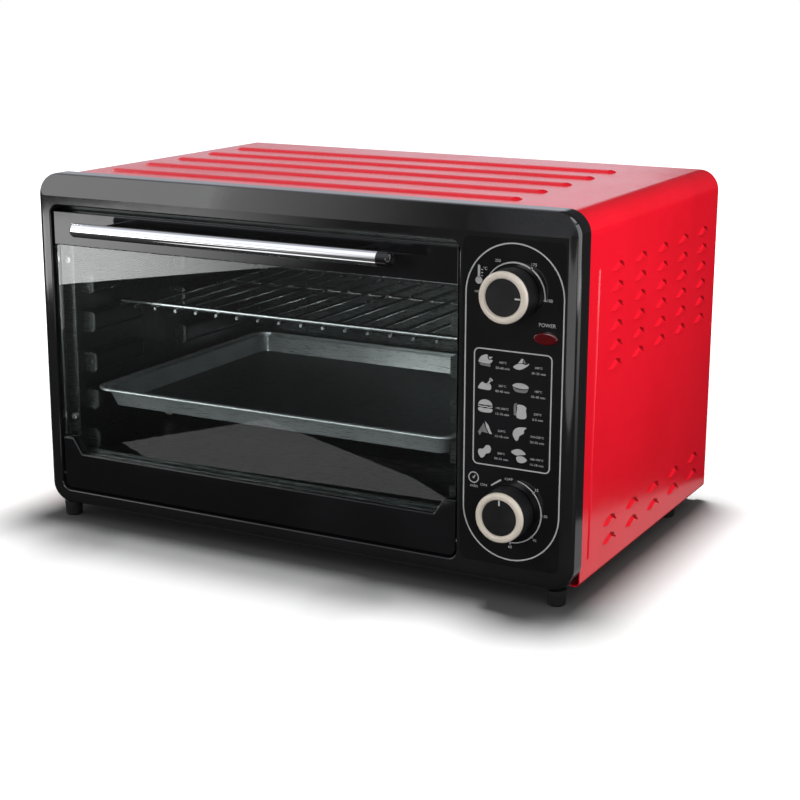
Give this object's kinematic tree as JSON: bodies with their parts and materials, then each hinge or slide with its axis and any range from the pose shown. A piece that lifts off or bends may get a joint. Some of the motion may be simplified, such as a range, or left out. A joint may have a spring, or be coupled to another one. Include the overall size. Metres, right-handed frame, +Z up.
{
  "type": "electric convection oven",
  "caption": "Countertop electric oven with a drop-down glass door, chrome bar handle, dial controls, louvred wrapped casing, wire rack and baking tray.",
  "frame": {"origin": "on the worktop, under the middle of the oven's overall box", "axes": "+X to the right as the user faces the door, +Y from the door to the back, +Z up"},
  "size_m": [0.5136, 0.364, 0.313],
  "materials": {
    "bezel_black": "gloss",
    "panel_black": "gloss, printed",
    "shell_red": "gloss enamel",
    "zinc_sheet": "galvanised",
    "cavity_steel": "dark, satin",
    "screw_steel": "zinc plated",
    "heater_sheath": "heat darkened",
    "ceramic": "white ceramic, matt",
    "fan_metal": "satin",
    "motor_steel": "laminated core",
    "control_body": "moulded, matt",
    "wire_cover": "silicone covered wire",
    "knob_black": "satin",
    "ring_ivory": "satin gloss",
    "pointer_white": "gloss",
    "lamp_red": "translucent red",
    "gland_black": "matt",
    "foot_rubber": "matt",
    "glass_clear": "clear, toughened",
    "door_black": "satin gloss",
    "handle_chrome": "polished",
    "rack_chrome": "polished wire",
    "tray_metal": "coated, satin"
  },
  "bodies": {
    "casing": {"front_bezel": "bezel_black", "control_panel": "panel_black", "outer_shell": "shell_red", "back_panel": "zinc_sheet", "base_plate": "zinc_sheet", "cavity_supports": "zinc_sheet", "hinge_bracket_left": "zinc_sheet", "hinge_bracket_right": "zinc_sheet", "cavity_left_wall": "cavity_steel", "cavity_right_wall": "cavity_steel", "cavity_ceiling": "cavity_steel", "cavity_floor": "cavity_steel", "cavity_back_wall": "cavity_steel", "cavity_front_frame": "cavity_steel", "foot_screws": "screw_steel", "frame_screws": "screw_steel", "shell_screws": "screw_steel", "door_springs": "screw_steel", "upper_heating_rods": "heater_sheath", "lower_heating_rods": "heater_sheath", "heater_insulators": "ceramic", "fan_housing": "fan_metal", "timer_bell": "fan_metal", "thermal_cutout": "fan_metal", "fan_motor": "motor_steel", "thermostat_body": "control_body", "timer_body": "control_body", "terminal_block": "control_body", "lamp_body": "control_body", "wiring": "wire_cover", "lamp_lens": "lamp_red", "cord_gland": "gland_black", "foot_front_left": "foot_rubber", "foot_front_right": "foot_rubber", "foot_rear_left": "foot_rubber", "foot_rear_right": "foot_rubber"},
    "door": {"door_glass": "glass_clear", "door_top_strip": "door_black", "door_bottom_rail": "door_black", "hinge_pins": "screw_steel", "hook_pins": "screw_steel", "handle_bar": "handle_chrome", "handle_end_left": "door_black", "handle_end_right": "door_black", "handle_posts": "door_black", "handle_screws": "screw_steel"},
    "left_hook": {"door_hook_left": "screw_steel"},
    "right_hook": {"door_hook_right": "screw_steel"},
    "temperature_control": {"temperature_knob": "knob_black", "temperature_ring": "ring_ivory", "temperature_pointer": "pointer_white", "temperature_shaft": "screw_steel"},
    "timer_control": {"timer_knob": "knob_black", "timer_ring": "ring_ivory", "timer_pointer": "pointer_white", "timer_shaft": "screw_steel"},
    "fan": {"fan_shaft": "screw_steel", "fan_blade": "fan_metal"},
    "rack": {"wire_rack": "rack_chrome"},
    "tray": {"baking_tray": "tray_metal"}
  },
  "joints": [
    {"name": "door_hinge", "type": "hinge", "parent": "casing", "child": "door", "pos_m": [0, -0.142, 0.041], "axis": [1, 0, 0], "range_deg": [0, 90], "stiffness_Nm_per_rad": 0.6, "springref_deg": -31.51, "deforming": ["door_springs"]},
    {"name": "left_hook_turn", "type": "hinge", "parent": "door", "child": "left_hook", "pos_m": [-0.2355, -0.1365, 0.068], "axis": [1, 0, 0], "range_deg": [-75, 0]},
    {"name": "right_hook_turn", "type": "hinge", "parent": "door", "child": "right_hook", "pos_m": [0.153, -0.1365, 0.068], "axis": [1, 0, 0], "range_deg": [-75, 0]},
    {"name": "temperature_turn", "type": "hinge", "parent": "casing", "child": "temperature_control", "pos_m": [0.2036, -0.148, 0.2485], "axis": [0, 1, 0], "range_deg": [-180, 0]},
    {"name": "timer_turn", "type": "hinge", "parent": "casing", "child": "timer_control", "pos_m": [0.2036, -0.148, 0.075], "axis": [0, 1, 0], "range_deg": [-60, 180]},
    {"name": "fan_spin", "type": "hinge", "parent": "casing", "child": "fan", "pos_m": [0.16, 0.027, 0.163], "axis": [1, 0, 0], "continuous": true},
    {"name": "rack_slide", "type": "slide", "parent": "casing", "child": "rack", "axis": [0, -1, 0], "range_m": [0, 0.19]},
    {"name": "tray_slide", "type": "slide", "parent": "casing", "child": "tray", "axis": [0, -1, 0], "range_m": [0, 0.095]}
  ],
  "couplings": [
    {"joint": "left_hook_turn", "follows": "door_hinge", "ratio": -0.8111},
    {"joint": "right_hook_turn", "follows": "door_hinge", "ratio": -0.8111},
    {"joint": "rack_slide", "follows": "door_hinge", "m_per_rad": 0.12},
    {"joint": "tray_slide", "follows": "door_hinge", "m_per_rad": 0.06}
  ]
}
